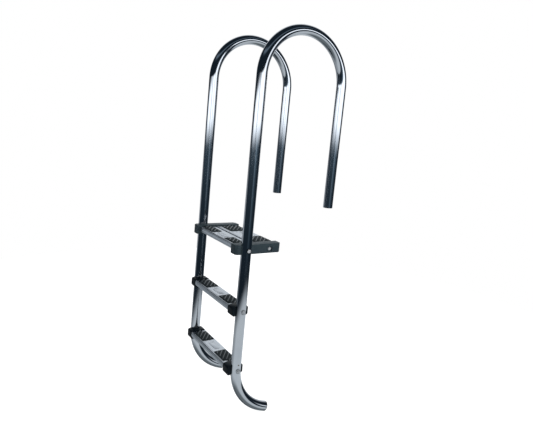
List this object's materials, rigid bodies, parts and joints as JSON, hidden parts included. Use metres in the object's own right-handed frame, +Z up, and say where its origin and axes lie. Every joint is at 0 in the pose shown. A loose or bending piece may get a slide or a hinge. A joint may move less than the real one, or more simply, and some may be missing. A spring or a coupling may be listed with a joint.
{
  "type": "pool ladder",
  "caption": "Steel pool ladder: bent tube rails with hand loops, a deep double top tread, single treads below, black ribbed pads and moulded ends.",
  "frame": {"origin": "bottom centre of the ladder's box, at the lowest point of the feet, midway between the rails", "axes": "+X from the water towards the pool wall and the deck, +Y towards the left rail as a climber sees it, +Z up along the legs"},
  "size_m": [0.4684, 0.4756, 1.6645],
  "materials": {
    "polished_tube": "polished stainless steel",
    "tread_steel": "satin stainless sheet",
    "fastener_steel": "bright stainless",
    "moulded_black": "semi-gloss moulded plastic",
    "washer_black": "matte moulded plastic",
    "pad_rubber": "ribbed anti-slip rubber",
    "plug_rubber": "matte rubber"
  },
  "bodies": {
    "root": {"bottom_cap_left": "moulded_black", "bottom_cap_right": "moulded_black", "bottom_pad_left": "pad_rubber", "bottom_pad_right": "pad_rubber", "bottom_tread": "tread_steel", "bracket_bolt_left": "fastener_steel", "bracket_bolt_right": "fastener_steel", "bracket_nut_left": "fastener_steel", "bracket_nut_right": "fastener_steel", "left_foot_plug": "plug_rubber", "left_rail": "polished_tube", "middle_cap_left": "moulded_black", "middle_cap_right": "moulded_black", "middle_pad_left": "pad_rubber", "middle_pad_right": "pad_rubber", "middle_tread": "tread_steel", "rail_bolt_bottom_left": "fastener_steel", "rail_bolt_bottom_right": "fastener_steel", "rail_bolt_middle_left": "fastener_steel", "rail_bolt_middle_right": "fastener_steel", "rail_bolt_top_left": "fastener_steel", "rail_bolt_top_right": "fastener_steel", "rail_nut_bottom_left": "fastener_steel", "rail_nut_bottom_right": "fastener_steel", "rail_nut_middle_left": "fastener_steel", "rail_nut_middle_right": "fastener_steel", "rail_nut_top_left": "fastener_steel", "rail_nut_top_right": "fastener_steel", "rail_washer_bottom_left": "fastener_steel", "rail_washer_bottom_right": "fastener_steel", "rail_washer_middle_left": "fastener_steel", "rail_washer_middle_right": "fastener_steel", "rail_washer_top_left": "washer_black", "rail_washer_top_right": "washer_black", "right_foot_plug": "plug_rubber", "right_rail": "polished_tube", "top_bracket_left": "moulded_black", "top_bracket_right": "moulded_black", "top_front_pad_left": "pad_rubber", "top_front_pad_right": "pad_rubber", "top_rear_pad_left": "pad_rubber", "top_rear_pad_right": "pad_rubber", "top_tread_front": "tread_steel", "top_tread_rear": "tread_steel"}
  },
  "joints": []
}
